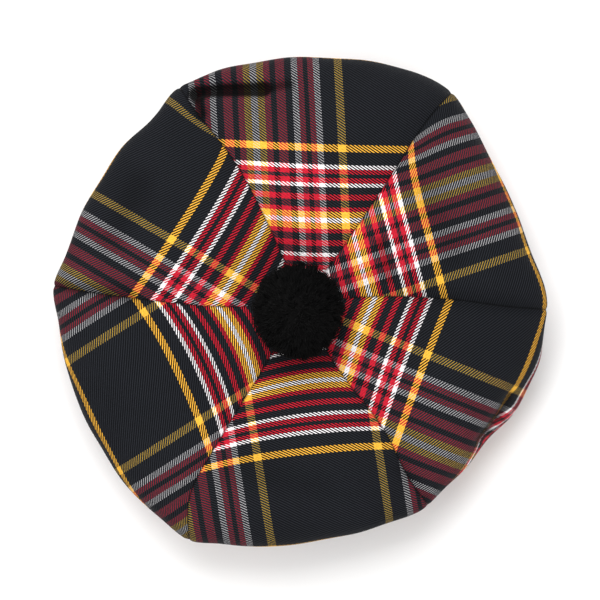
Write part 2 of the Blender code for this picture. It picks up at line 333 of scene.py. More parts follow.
def beside_line(line, x, y):
    """How far along a line each place lies, how far to its left, and how long the line is."""
    start = np.array((line.x1, line.y1)) * MM
    run = np.array((line.x2, line.y2)) * MM - start
    length = math.hypot(*run)
    along = ((x - start[0]) * run[0] + (y - start[1]) * run[1]) / length
    aside = ((y - start[1]) * run[0] - (x - start[0]) * run[1]) / length
    return along, aside, length


def fold_rise(x, y):
    """Height that all folds together add at a place on the upper side."""
    rise = np.zeros_like(x)
    for fold in FOLDS:
        along, aside, length = beside_line(fold, x, y)
        past_end = np.maximum(np.maximum(-along, along - length), 0)
        spread = fold.spread * MM
        rise += fold.rise * MM * np.exp(-(aside**2 + past_end**2) / spread**2)
    return rise


def soft_waves(x, y, z):
    """Low waves that keep the cloth from looking cast: a few broad ripples added together."""
    rng = np.random.default_rng(WAVE_SEED)
    rise = np.zeros_like(x)
    for _ in range(WAVES):
        heading = rng.normal(size=3)
        heading /= np.linalg.norm(heading)
        turn = math.tau / rng.uniform(*WAVE_LENGTHS)
        phase = rng.uniform(0, math.tau)
        ahead = x * heading[0] + y * heading[1] + z * heading[2]
        rise += WAVE_RISE * np.sin(turn * ahead + phase)
    return rise


def fade_at_ends(at, sections):
    """1 over most of a gore, going to 0 over some sections at the crown's middle and the band."""
    return np.clip(at / sections, 0, 1) * np.clip((LAST_SECTION - at) / BAND_FADE, 0, 1)


def seam_relief(from_seam, along):
    """The sharp groove of a seam and the small puckers that its thread pulls beside it."""
    groove = -SEAM_GROOVE * np.exp(-((from_seam / SEAM_GROOVE_WIDTH) ** 2))
    near = np.exp(-from_seam / PUCKER_WIDTH) * (1 - np.exp(-from_seam / SEAM_GROOVE_WIDTH))
    wander = PUCKER_WANDER * np.sin(along / PUCKER_PITCH * PUCKER_WANDER_RATE)
    pucker = PUCKER_RISE * near * np.sin(math.tau * along / PUCKER_PITCH + wander)
    return groove + pucker


def crown_point(index, across, at, depth):
    """Points of gore index: across from seam to seam, at a section, depth inside the cloth."""
    lie = ground(index, across, at)
    half_gap = SEAM_GAP / 2 / lie.radius
    azimuth = lie.first + half_gap + across * (lie.turn - 2 * half_gap)
    faces_out, faces_up = facing(index, across, at, lie.reach)

    from_seam = np.minimum(lie.from_start, lie.from_end)
    dip = column("seam_dip", at) * MM * np.exp(-((from_seam / SEAM_WIDTH) ** 2))
    puff = column("puff", at) * MM * np.sin(math.pi * across)
    x = lie.radius * np.cos(azimuth)
    y = lie.radius * np.sin(azimuth)
    level = np.clip(FOLD_GAIN * faces_up - FOLD_LOSS, 0, 1)
    folds = fold_rise(x, y) * level * (at > LAST_GATHERED_SECTION)
    waves = soft_waves(x, y, lie.height) * fade_at_ends(at, WAVE_FADE)
    relief = seam_relief(from_seam, lie.radius + lie.height) * fade_at_ends(at, PUCKER_FADE)
    rise = puff - dip + folds + (waves + relief) - depth

    from_centre = 1 - lie.rim_share - lie.band_share
    out = lie.radius + rise * faces_out
    x = CROWN_CENTRE[0] * from_centre + out * np.cos(azimuth)
    y = CROWN_CENTRE[1] * from_centre + out * np.sin(azimuth)
    return np.stack((x, y, lie.height + rise * faces_up), axis=-1)


def edge_and_crease(index, across, at):
    """How far each point of a gore lies from its seams, and how deep down in a fold."""
    lie = ground(index, across, at)
    azimuth = lie.first + across * lie.turn
    depth = -fold_rise(lie.radius * np.cos(azimuth), lie.radius * np.sin(azimuth)) * lie.on_top
    return np.minimum(lie.from_start, lie.from_end), depth


# ---- how the flat cloth lies in a gore ----------------------------------------------------------


def drawn_aside(index, lie):
    """How far the seams' pulls have drawn a gore's cloth sideways."""
    sideways = np.zeros_like(lie.radius)
    for pull in PULLS:
        if pull.gore == GORES[index].name:
            from_seam, way = (lie.from_start, -1) if pull.side == "start" else (lie.from_end, 1)
            off_middle = (lie.rim_share - pull.share) / pull.fade
            near = np.exp(-from_seam / (pull.width * MM) - off_middle**2)
            sideways += way * pull.drawn * MM * near * lie.on_top
    return sideways


def swung_out(lay, lie):
    """How far out the bright stripes swing beside a gore's two seams."""
    at_start = lay.swing_start * np.exp(-lie.from_start / SWING_WIDTH)
    at_end = lay.swing_end * np.exp(-lie.from_end / SWING_WIDTH)
    return (at_start + at_end) * MM


def tucked_away(index, x, y, on_top):
    """How much of a gore's cloth is folded out of sight on the way to each place."""
    hidden = np.zeros_like(x)
    for tuck in TUCKS:
        if tuck.gore == GORES[index].name:
            along, aside, length = beside_line(tuck, x, y)
            beyond = np.where(on_top, smooth_step(0.5 + aside / TUCK_BLUR), 1)
            hidden += tuck.hidden * MM * smooth_step(along / length) * beyond
    return hidden


def cloth_place(index, across, at):
    """Where each point of a gore lies on the flat cloth, along the weft and along the warp.

    The third reading is how far out it lies, the way that is square across the bright stripes.
    """
    lay = LAYS[index]
    lie = ground(index, across, at)
    azimuth = lie.first + across * lie.turn
    sideways = drawn_aside(index, lie)
    x = lie.radius * np.cos(azimuth) - sideways * np.sin(azimuth)
    y = lie.radius * np.sin(azimuth) + sideways * np.cos(azimuth)
    warp_turn = math.radians(lay.warp_azimuth)
    weft_turn = math.radians(lay.weft_azimuth)
    along_weft = y * math.cos(warp_turn) - x * math.sin(warp_turn)
    outward = x * math.cos(weft_turn) + y * math.sin(weft_turn)
    steps = np.hypot(np.diff(outward, axis=0), np.diff(lie.height, axis=0))
    along_warp = outward[0] + np.vstack((np.zeros(steps.shape[1]), np.cumsum(steps, axis=0)))
    along_warp = along_warp - swung_out(lay, lie) + tucked_away(index, x, y, lie.on_top)
    return along_weft, along_warp, outward


# ---- making meshes ------------------------------------------------------------------------------


def add_piece(name, points, faces, material, node=None):
    """A smooth-shaded mesh object that rides on the hat and may stand for one of its solids."""
    mesh = bpy.data.meshes.new(name)
    mesh.from_pydata(points, [], faces)
    mesh.polygons.foreach_set("use_smooth", [True] * len(mesh.polygons))
    mesh.materials.append(material)
    piece = bpy.data.objects.new(name, mesh)
    bpy.context.collection.objects.link(piece)
    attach(piece, "root")
    if node:
        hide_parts(node)
    return piece


def add_map(piece, name, pairs):
    """A UV map that gives each vertex of a piece its pair of values."""
    corners = np.zeros(len(piece.data.loops), dtype=int)
    piece.data.loops.foreach_get("vertex_index", corners)
    piece.data.uv_layers.new(name=name).data.foreach_set("uv", pairs[corners].ravel())


def turned(radius, azimuth, height):
    """Points at a radius and an azimuth round an upright axis, at a height."""
    x = radius * np.cos(azimuth)
    y = radius * np.sin(azimuth)
    return np.stack(np.broadcast_arrays(x, y, height), axis=-1)


def tube_faces(rings, sides):
    """Quads round a tube whose points are given ring by ring."""
    side = np.arange(sides)
    after = np.roll(side, -1)
    low = np.arange(rings - 1)[:, None] * sides
    high = low + sides
    return np.stack((low + side, low + after, high + after, high + side), axis=-1).reshape(-1, 4)


def shell_faces(rows, cuts):
    """Quads of a closed cloth shell: its outer grid, its inner grid and the four edges."""
    outer = np.arange(rows * cuts).reshape(rows, cuts)
    inner = outer + rows * cuts

    def quads(a, b, c, d):
        return np.stack((a, b, c, d), axis=-1).reshape(-1, 4)

    skins = [
        quads(outer[:-1, :-1], outer[1:, :-1], outer[1:, 1:], outer[:-1, 1:]),
        quads(inner[:-1, :-1], inner[:-1, 1:], inner[1:, 1:], inner[1:, :-1]),
        quads(outer[0, :-1], outer[0, 1:], inner[0, 1:], inner[0, :-1]),
        quads(outer[-1, 1:], outer[-1, :-1], inner[-1, :-1], inner[-1, 1:]),
        quads(outer[1:, 0], outer[:-1, 0], inner[:-1, 0], inner[1:, 0]),
        quads(outer[:-1, -1], outer[1:, -1], inner[1:, -1], inner[:-1, -1]),
    ]
    return np.concatenate(skins).tolist()


def crown_gore(index, cloth):
    """One gore of the crown, finely laid, with its place on the flat cloth kept as a UV map."""
    rows = LAST_SECTION * ROWS_PER_SECTION + 1
    at = np.linspace(0, LAST_SECTION, rows)[:, None]
    even = np.linspace(0, 1, CUTS_ACROSS)
    crowded = 0.5 - 0.5 * np.cos(math.pi * even)
    across = (CROWDED_SHARE * crowded + (1 - CROWDED_SHARE) * even)[None, :]
    at, across = np.broadcast_arrays(at, across)
    skins = [crown_point(index, across, at, depth).reshape(-1, 3) for depth in (0, CLOTH_THICK)]
    node = GORES[index].name
    piece = add_piece(
        node.replace("crown", "tartan"),
        np.concatenate(skins).tolist(),
        shell_faces(rows, CUTS_ACROSS),
        material=cloth,
        node=node,
    )
    along_weft, along_warp, _ = cloth_place(index, across, at)
    # The edge map gives the distance from the seams and the depth in a fold, for the painted shade
    # there.
    maps = {"cloth": (along_weft, along_warp), "edge": edge_and_crease(index, across, at)}
    for name, readings in maps.items():
        pairs = np.stack(readings, axis=-1).reshape(-1, 2)
        add_map(piece, name, np.concatenate((pairs, pairs)))


# ---- shader maths as expressions ----------------------------------------------------------------
# As a reading goes from low to high, what it sets goes smoothly from start to end.
Change = namedtuple("Change", "low high start end")

# Noise that runs through a material. scale: about how many patches it has to a metre. detail: how
# many finer layers are added to it.
Grain = namedtuple("Grain", "scale detail")

# Which output of a Mix node holds its colour, and which inputs its two colours.
MIXED_COLOUR = 2
FIRST_COLOUR = 6
SECOND_COLOUR = 7


class Reading:
    """A value that changes over a surface. Arithmetic on readings adds Math nodes."""

    def __init__(self, finish, socket):
        self.finish = finish
        self.socket = socket

    def maths(self, operation, *values):
        """A Math node of the values, which are readings or numbers, in the order given."""
        settings = {"operation": operation}
        return self.finish.add("ShaderNodeMath", settings, dict(enumerate(values)))

    def __add__(self, other):
        return self.maths("ADD", self, other)

    def __sub__(self, other):
        return self.maths("SUBTRACT", self, other)

    def __rsub__(self, other):
        return self.maths("SUBTRACT", other, self)

    def __mul__(self, other):
        return self.maths("MULTIPLY", self, other)

    def __truediv__(self, other):
        return self.maths("DIVIDE", self, other)

    def __rtruediv__(self, other):
        return self.maths("DIVIDE", other, self)

    __radd__ = __add__
    __rmul__ = __mul__

    def part(self):
        """How far the reading is past its last whole number."""
        return self.maths("FRACT", self)

    def size(self):
        """The reading without its sign."""
        return self.maths("ABSOLUTE", self)

    def there_and_back(self, length):
        """The reading as it would walk to a length and back, again and again."""
        return self.maths("PINGPONG", self, length)

    def hump(self):
        """A round hump over each whole step of a reading that runs from 0 to 1."""
        return self.maths("SINE", self * math.pi)

    def changing(self, change):
        """What the reading sets, by a change from one value to another and no further."""
        settings = {"interpolation_type": "SMOOTHSTEP"}
        limits = ("From Min", "From Max", "To Min", "To Max")
        inputs = {"Value": self, **dict(zip(limits, change))}
        return self.finish.add("ShaderNodeMapRange", settings, inputs)


class Finish:
    """A material whose nodes are all added by one method."""

    def __init__(self, name):
        self.material = bpy.data.materials.new(name)
        self.material.use_nodes = True
        self.tree = self.material.node_tree
        self.shader = self.tree.nodes["Principled BSDF"]

    def add(self, kind, settings=None, inputs=None, output=0):
        """A node of a kind, with its settings set first, then its inputs given or linked."""
        node = self.tree.nodes.new(kind)
        for key, value in (settings or {}).items():
            if key == "stops":
                self.set_stops(node.color_ramp, value)
            else:
                setattr(node, key, value)
        for key, value in (inputs or {}).items():
            self.plug(node.inputs[key], value)
        return Reading(self, node.outputs[output])

    def set_stops(self, ramp, stops):
        """Colour-ramp stops as (place, colour), which hold their colour up to the next one."""
        ramp.interpolation = "CONSTANT"
        while len(ramp.elements) < len(stops):
            ramp.elements.new(1.0)
        for element, (place, colour) in zip(ramp.elements, stops):
            element.position = place
            element.color = (*colour, 1.0)

    def plug(self, socket, value):
        """A reading is linked to the socket, and anything else is set on it."""
        if isinstance(value, Reading):
            self.tree.links.new(value.socket, socket)
        else:
            socket.default_value = value

    def colour_mix(self, share, first, second, blend="MIX"):
        """Two colours, of which the second takes the share."""
        settings = {"data_type": "RGBA", "blend_type": blend}
        inputs = {0: share, FIRST_COLOUR: first, SECOND_COLOUR: second}
        return self.add("ShaderNodeMix", settings, inputs, MIXED_COLOUR)

    def grey(self, painted_shade_and_tone):
        """A reading as a grey colour."""
        return self.add("ShaderNodeCombineColor", None, {0: painted_shade_and_tone, 1: painted_shade_and_tone, 2: painted_shade_and_tone})

    def noise(self, place, grain):
        """A grain read at a place."""
        inputs = {"Vector": place, "Scale": grain.scale, "Detail": grain.detail}
        return self.add("ShaderNodeTexNoise", None, inputs)

    def solid_place(self):
        """Where each point lies in the piece, for grain that runs through it."""
        return self.add("ShaderNodeTexCoord", output="Object")

    def mapped(self, name):
        """The two readings of a UV map."""
        place = self.add("ShaderNodeUVMap", {"uv_map": name})
        return [self.add("ShaderNodeSeparateXYZ", None, {0: place}, axis) for axis in "XY"]

    def bump(self, height, distance, strength):
        """Relief: a reading's height, how far 1 of it stands out, and how strongly it shows."""
        inputs = {"Height": height, "Distance": distance, "Strength": strength}
        self.set(Normal=self.add("ShaderNodeBump", None, inputs))

    def set(self, **values):
        """Shader inputs by name, with underscores for spaces."""
        for key, value in values.items():
            self.plug(self.shader.inputs[key.replace("_", " ")], value)


# ---- twill --------------------------------------------------------------------------------------
WARP_SHOWS = Change(0.05, 0.25, 1.0, 0.0)
WEFT_SHOWS = Change(0.46, 0.72, 0.0, 1.0)
FUZZ = Grain(900.0, 2.0)
TWILL_RELIEF = 0.2 * MM
TWILL_RELIEF_STRENGTH = 0.9
YARN_RELIEF_SHARE = 0.4
FUZZ_RELIEF_SHARE = 0.25


def twill(across, along):
    """A 2/1 twill: how much its warp and its weft show, and how round its wales and yarns are.

    The wales run on the slant. On each, the warp shows in a narrow line and the weft in a broad
    one, and between them lies their shadow.
    """
    warp_step = across / WARP_PITCH
    weft_step = along / WEFT_PITCH
    slant = ((weft_step - warp_step) / TWILL_REPEAT).part()
    from_warp = (slant - 0.5).size() * 2
    warp_shows = from_warp.changing(WARP_SHOWS)
    weft_shows = from_warp.changing(WEFT_SHOWS)
    yarns = warp_step.part().hump() * weft_step.part().hump()
    return warp_shows, weft_shows, from_warp, yarns


def twill_relief(finish, wale, yarns, fuzz):
    """The bump of a twill's wales, its single yarns and their fuzz."""
    height = wale + yarns * YARN_RELIEF_SHARE + fuzz * FUZZ_RELIEF_SHARE
    finish.bump(height, TWILL_RELIEF, TWILL_RELIEF_STRENGTH)


# ---- the gores' tartan --------------------------------------------------------------------------
# How far the yarns wander from straight, and over what patches.
WANDER = Grain(90.0, 3.0)
ACROSS_WANDER = 0.5 * MM
ALONG_WANDER = 0.35 * MM

# What the yarns' colour is multiplied by: painted shade and highlight over a wale and a yarn,
# tone from its fuzz and the worn patches, and painted shade beside a seam and deep in a fold.
TARTAN_WORN = Grain(22.0, 4.0)
WALE_PAINTED_SHADE = Change(0.1, 0.9, 0.85, 1.10)
YARN_PAINTED_SHADE = Change(0.0, 0.6, 0.84, 1.0)
FUZZ_SHADE = Change(0.3, 0.7, 0.88, 1.12)
WORN_SHADE = Change(0.35, 0.65, 0.94, 1.06)
SEAM_PAINTED_SHADE = Change(0.1 * MM, 1.0 * MM, 0.5, 1.0)
FOLD_PAINTED_SHADE = Change(0.6 * MM, 3.6 * MM, 1.0, 0.08)
TARTAN_ROUGHNESS = Change(0.3, 0.7, 0.72, 0.9)

# How finely a gore's middle is walked to find its yellow line.
YELLOW_SEARCH_ROWS = 400


def sett_stops(direction):
    """The stripes of one direction as ramp stops, and the length of the half repeat."""
    widths = [getattr(stripe, direction) for stripe in SETT]
    half = sum(widths)
    stops = []
    start = 0.0
    for stripe, width in zip(SETT, widths):
        stops.append((start / half, getattr(YARNS[stripe.colour], direction)))
        start += width
    return stops, half * MM


def yarn_dyed(finish, place, direction, black_at):
    """The colour of the yarn that runs at a place across one direction's stripes."""
    stops, half = sett_stops(direction)
    share = (place - black_at).there_and_back(half) / half
    return finish.add("ShaderNodeValToRGB", {"stops": stops}, {"Fac": share})


def cloth_distance_to_yellow(index):
    """How far along the warp the middle of a gore's yellow line lies on the flat cloth."""
    at = np.linspace(0, LAST_SECTION, YELLOW_SEARCH_ROWS)[:, None]
    middle = np.full_like(at, 0.5)
    _, along_warp, outward = cloth_place(index, middle, at)
    top = slice(0, int(np.argmax(outward[:, 0])))
    return float(np.interp(LAYS[index].yellow_at * MM, outward[top, 0], along_warp[top, 0]))


def tartan(index):
    finish = Finish("tartan_twill_" + str(index + 1))
    across, along = finish.mapped("cloth")
    solid = finish.solid_place()
    wander = finish.noise(solid, WANDER) - 0.5
    across = across + wander * ACROSS_WANDER
    along = along + wander * ALONG_WANDER

    black_outward = cloth_distance_to_yellow(index) + (SETT[0].weft + SETT[1].weft / 2) * MM
    warp = yarn_dyed(finish, across, "warp", LAYS[index].black_at * MM)
    weft = yarn_dyed(finish, along, "weft", black_outward)
    warp_shows, weft_shows, wale, yarns = twill(across, along)
    # Painted shadow between the floats: the darker of the two yarns.
    between = finish.colour_mix(1.0, warp, weft, "DARKEN")
    colour = finish.colour_mix(warp_shows, between, warp)
    colour = finish.colour_mix(weft_shows, colour, weft)

    fuzz = finish.noise(solid, FUZZ)
    worn = finish.noise(solid, TARTAN_WORN)
    from_seam, in_fold = finish.mapped("edge")
    # Painted shade and highlight over the wales and the yarns, then tone from the fuzz and the
    # wear.
    painted_shade_and_tone = wale.changing(WALE_PAINTED_SHADE) * yarns.changing(YARN_PAINTED_SHADE)
    painted_shade_and_tone = painted_shade_and_tone * fuzz.changing(FUZZ_SHADE) * worn.changing(WORN_SHADE)
    # Painted shade in the seams' grooves, darkest at the seam line, and painted shade deep in the
    # folds.
    painted_shade_and_tone = painted_shade_and_tone * from_seam.changing(SEAM_PAINTED_SHADE) * in_fold.changing(FOLD_PAINTED_SHADE)
    finish.set(Base_Color=finish.colour_mix(1.0, colour, finish.grey(painted_shade_and_tone), "MULTIPLY"))
    finish.set(Roughness=fuzz.changing(TARTAN_ROUGHNESS))
    finish.set(Sheen_Weight=0.02, Sheen_Roughness=0.4, Specular_IOR_Level=0.08)
    twill_relief(finish, wale, yarns, fuzz)
    return finish.material


# ---- headband -----------------------------------------------------------------------------------
# The band's cloth section, from the inner fold round the outside and back: how far out of the
# inner face, and how high, in mm. Its two faces dip where the stitches draw them together.
BAND_INSIDE = 91.5 * MM
Rib = namedtuple("Rib", "out height")
BAND_SECTION = (
    Rib(0.10, 0.25),
    Rib(0.45, 0.00),
    Rib(1.55, 0.00),
    Rib(1.90, 0.25),
    Rib(1.98, 1.2),
    Rib(1.92, 3.2),
    Rib(1.62, 4.6),
    Rib(1.92, 6.0),
    Rib(2.00, 10.0),
    Rib(2.00, 16.0),
    Rib(1.95, 22.0),
    Rib(1.85, 26.2),
    Rib(1.45, 27.0),
    Rib(0.55, 27.0),
    Rib(0.15, 26.2),
    Rib(0.05, 22.0),
    Rib(0.00, 16.0),
    Rib(0.00, 10.0),
    Rib(0.08, 6.0),
    Rib(0.38, 4.6),
    Rib(0.08, 3.2),
    Rib(0.02, 1.2),
)
BAND_STEPS = 360

# The upright join, which pinches this share of the band's thickness.
JOIN_AZIMUTH = 270.0
JOIN_WIDTH = 0.8 * MM
JOIN_PINCH = 0.25

STITCH_HEIGHT = 4.6 * MM
STITCH_PITCH = 3.4 * MM
STITCH_LENGTH = 2.5 * MM
STITCH_RADIUS = 0.24 * MM
STITCH_SIDES = 6

# One stitch from end to end. along: in its own length. thick: in its thread's radius. lift: how
# far it stands out of the cloth, in mm.
StitchRing = namedtuple("StitchRing", "along thick lift")
STITCH_RINGS = (
    StitchRing(-0.5, 0.35, -0.125),
    StitchRing(-0.3, 1.00, 0.00),
    StitchRing(0.0, 1.10, 0.05),
    StitchRing(0.3, 1.00, 0.00),
    StitchRing(0.5, 0.35, -0.125),
)

# out: how far the row lies out of the band's inner face, in mm. way: 1 where its stitches face
# outwards, -1 where they face inwards.
StitchRow = namedtuple("StitchRow", "name out way")
STITCH_ROWS = (
    StitchRow("band_stitches_outside", 1.75, 1),
    StitchRow("band_stitches_inside", 0.25, -1),
)

# The band's two blacks are mixed by painted shade over the wales and by tone from the worn
# patches.
BAND_BLACKS = ((0.003, 0.003, 0.004, 1.0), (0.016, 0.016, 0.019, 1.0))
BAND_WORN = Grain(30.0, 4.0)
BAND_WALE_PAINTED_SHADE = Change(0.2, 0.9, 0.5, 1.0)
BAND_WORN_SHADE = Change(0.35, 0.65, 0.75, 1.3)
BAND_ROUGHNESS = Change(0.3, 0.7, 0.75, 0.95)

THREAD_BLACKS = ((0.008, 0.008, 0.010, 1.0), (0.030, 0.030, 0.034, 1.0))
THREAD_TWIST = Grain(2200.0, 1.0)
THREAD_ROUGHNESS = Change(0.3, 0.7, 0.45, 0.65)
THREAD_RELIEF = 0.08 * MM
THREAD_RELIEF_STRENGTH = 0.6


def black_cloth():
    """Plain black twill for the headband."""
    finish = Finish("black_band_twill")
    across, along = finish.mapped("cloth")
    solid = finish.solid_place()
    _, _, wale, yarns = twill(across, along)
    fuzz = finish.noise(solid, FUZZ)
    worn = finish.noise(solid, BAND_WORN)
    # Painted shade over the wales, times tone from the worn patches.
    painted_shade_and_tone = wale.changing(BAND_WALE_PAINTED_SHADE) * worn.changing(BAND_WORN_SHADE)
    finish.set(Base_Color=finish.colour_mix(painted_shade_and_tone, *BAND_BLACKS))
    finish.set(Roughness=fuzz.changing(BAND_ROUGHNESS))
    finish.set(Sheen_Weight=0.05, Sheen_Roughness=0.4, Specular_IOR_Level=0.2)
    twill_relief(finish, wale, yarns, fuzz)
    return finish.material


def sewing_thread():
    """Black thread with the twist of its plies."""
    finish = Finish("black_thread")
    twist = finish.noise(finish.solid_place(), THREAD_TWIST)
    finish.set(Base_Color=finish.colour_mix(twist, *THREAD_BLACKS))
    finish.set(Roughness=twist.changing(THREAD_ROUGHNESS))
    finish.bump(twist, THREAD_RELIEF, THREAD_RELIEF_STRENGTH)
    return finish.material


def headband(cloth):
    """The folded cloth band, turned round the head opening, with one upright join."""
    turn = np.linspace(0, math.tau, BAND_STEPS, endpoint=False)
    out = np.array([rib.out for rib in BAND_SECTION]) * MM
    height = np.array([rib.height for rib in BAND_SECTION]) * MM
    middle = BAND_INSIDE + (out.max() + out.min()) / 2
    off_join = np.angle(np.exp(1j * (turn - math.radians(JOIN_AZIMUTH)))) * middle
    pinch = 1 - JOIN_PINCH * np.exp(-((off_join / JOIN_WIDTH) ** 2))
    radius = middle + (BAND_INSIDE + out - middle) * pinch[:, None]
    here = np.arange(radius.size).reshape(radius.shape)
    beside = np.roll(here, -1, axis=0)
    corners = (here, beside, np.roll(beside, -1, axis=1), np.roll(here, -1, axis=1))
    piece = add_piece(
        "black_headband",
        turned(radius, turn[:, None], height).reshape(-1, 3).tolist(),
        np.stack(corners, axis=-1).reshape(-1, 4).tolist(),
        material=cloth,
        node="headband",
    )
    lengths = np.hypot(np.diff(out, append=out[0]), np.diff(height, append=height[0]))
    round_section = np.concatenate(((0.0,), np.cumsum(lengths)))
    flat = []
    for step in range(BAND_STEPS):
        left, right = (edge * math.tau / BAND_STEPS * middle for edge in (step, step + 1))
        for low, high in zip(round_section[:-1], round_section[1:]):
            flat += [left, low, right, low, right, high, left, high]
    piece.data.uv_layers.new(name="cloth").data.foreach_set("uv", flat)


def stitch_row(row, thread):
    """A row of short stitches round the band, each a small thread that dips at both ends."""
    radius = BAND_INSIDE + row.out * MM
    count = round(math.tau * radius / STITCH_PITCH)
    along, thick, lift = np.array(STITCH_RINGS).T[:, None, :, None]
    swing = np.arange(STITCH_SIDES) * math.tau / STITCH_SIDES
    middle = np.arange(count)[:, None, None] * math.tau / count
    out = radius + row.way * lift * MM + STITCH_RADIUS * thick * np.cos(swing)
    up = STITCH_HEIGHT + STITCH_RADIUS * thick * np.sin(swing)
    points = turned(out, middle + along * STITCH_LENGTH / radius, up)

    each = len(STITCH_RINGS) * STITCH_SIDES
    tube = [(a, d, c, b) for a, b, c, d in tube_faces(len(STITCH_RINGS), STITCH_SIDES).tolist()]
    first_end = range(STITCH_SIDES)
    last_end = reversed(range(each - STITCH_SIDES, each))
    stitch = [*tube, tuple(first_end), tuple(last_end)]
    starts = range(0, count * each, each)
    faces = [tuple(start + corner for corner in face) for start in starts for face in stitch]
    points = points.reshape(-1, 3).tolist()
    add_piece(row.name, points, faces, material=thread)


# ---- pompom -------------------------------------------------------------------------------------
POMPOM_CENTRE = np.array((-1.0, -5.5, 76.2)) * MM
POMPOM_RADII = np.array((26.0, 27.4, 22.8)) * MM
POMPOM_SEED = 5
CROWN_CLEARANCE = 0.9 * MM
SECTIONS_UNDER_POMPOM = SECTIONS[:6]

# The dense middle, as a share of the pompom's size, with low lumps that run slantwise round it.
HEART_SHARE = 0.80
HEART_ROWS = 24
HEART_CUTS = 40
LUMP_RISE = 0.03
LUMPS_ROUND = 5
LUMPS_SLANT = 3
LUMPS_UP = 7

# The yarn ends lean into locks: by which share of the way, and how far out the locks reach. Off
# a lock's middle its yarn is a little shorter.
POMPOM_LOCKS = 110
LOCK_LEAN = (0.15, 0.6)
LOCK_REACH = (0.95, 1.03)
LOCK_MIDDLE_COSINE = 0.99
LOCK_SIDE_REACH = 0.965
YARN_UNEVENNESS = 0.018
WISP_REACH = (1.0, 1.09)

# scatter: how far the strands stray from an even spread. root: where they start, as a share of
# the pompom's size. thin, thick: the range of their radius, in mm. curl: how far their ends bend.
Strands = namedtuple("Strands", "count scatter root thin thick curl")
YARN_ENDS = Strands(8600, 0.03, 0.55, 0.26, 0.42, 0.05)
WISPS = Strands(900, 0.15, 0.70, 0.05, 0.09, 0.10)

# One strand from root to tip. along: in its own length. thick: in its radius at the root.
StrandRing = namedtuple("StrandRing", "along thick")
STRAND_RINGS = (
    StrandRing(0.00, 1.00),
    StrandRing(0.45, 0.90),
    StrandRing(0.80, 0.60),
    StrandRing(1.00, 0.12),
)
STRAND_SIDES = 3

POMPOM_BLACKS = ((0.0006, 0.0006, 0.0007, 1.0), (0.0032, 0.0030, 0.0030, 1.0))
TUFTS = Grain(160.0, 3.0)
FIBRE = Grain(1500.0, 2.0)
TUFT_LIGHTER = Change(0.3, 0.7, 0.0, 0.7)
FIBRE_LIGHTER = Change(0.4, 0.8, 0.0, 0.3)
POMPOM_ROUGHNESS = Change(0.3, 0.7, 0.8, 1.0)
FIBRE_RELIEF = 0.1 * MM
FIBRE_RELIEF_STRENGTH = 0.5


def pompom_yarn():
    """Deep black wool, a little lighter from tuft to tuft and from fibre to fibre."""
    finish = Finish("black_pompom_yarn")
    solid = finish.solid_place()
    tufts = finish.noise(solid, TUFTS)
    fibre = finish.noise(solid, FIBRE)
    lighter = tufts.changing(TUFT_LIGHTER) + fibre.changing(FIBRE_LIGHTER)
    finish.set(Base_Color=finish.colour_mix(lighter, *POMPOM_BLACKS))
    finish.set(Roughness=fibre.changing(POMPOM_ROUGHNESS))
    finish.set(Sheen_Weight=0.02, Sheen_Roughness=0.6, Specular_IOR_Level=0.08)
    finish.bump(fibre, FIBRE_RELIEF, FIBRE_RELIEF_STRENGTH)
    return finish.material


def unit(vectors):
    """Vectors made one long."""
    return vectors / np.linalg.norm(vectors, axis=-1, keepdims=True)


def even_directions(count):
    """Unit vectors spread evenly over a ball, along a spiral from top to bottom."""
    golden_angle = math.pi * (3 - math.sqrt(5))
    i = np.arange(count)
    height = 1 - 2 * (i + 0.5) / count
    return turned(np.sqrt(1 - height**2), golden_angle * i, height)


def scattered(kind, rng):
    """The directions of a kind of strand: an even spread, strayed from at random."""
    return unit(even_directions(kind.count) + rng.normal(size=(kind.count, 3)) * kind.scatter)


def above_crown(points):
    """Lift points that would sink into the crown under the pompom."""
    spread = np.hypot(points[..., 0] - CROWN_CENTRE[0], points[..., 1] - CROWN_CENTRE[1])
    rim = GORES[0].reach_right * MM
    radii = [section.sharp_share * rim for section in SECTIONS_UNDER_POMPOM]
    heights = [section.soft_height * MM for section in SECTIONS_UNDER_POMPOM]
    floor = np.interp(spread, radii, heights) + CROWN_CLEARANCE
    points[..., 2] = np.maximum(points[..., 2], floor)
    return points


def strands(kind, directions, reach, rng):
    """Tapered threads from the heart of the pompom outwards: their points and faces."""
    thickness = rng.uniform(kind.thin, kind.thick, kind.count) * MM
    side = unit(np.cross(directions, rng.normal(size=(kind.count, 3))))
    other = np.cross(directions, side)
    bend = rng.normal(size=(kind.count, 2)) * kind.curl
    lean = side * bend[:, :1] + other * bend[:, 1:]
    along, taper = np.array(STRAND_RINGS).T
    out = kind.root + (reach[:, None] - kind.root) * along
    path = directions[:, None, :] * out[..., None]
    path = path + lean[:, None, :] * (along**2)[None, :, None]
    path = path * POMPOM_RADII + POMPOM_CENTRE
    swing = np.arange(STRAND_SIDES)[:, None] * math.tau / STRAND_SIDES
    around = side[:, None, None, :] * np.cos(swing) + other[:, None, None, :] * np.sin(swing)
    girth = (thickness[:, None] * taper[None, :])[..., None, None]
    points = above_crown(path[:, :, None, :] + around * girth)

    each = len(STRAND_RINGS) * STRAND_SIDES
    starts = np.arange(kind.count)[:, None, None] * each
    faces = tube_faces(len(STRAND_RINGS), STRAND_SIDES) + starts
    return points.reshape(-1, 3), faces.reshape(-1, 4)


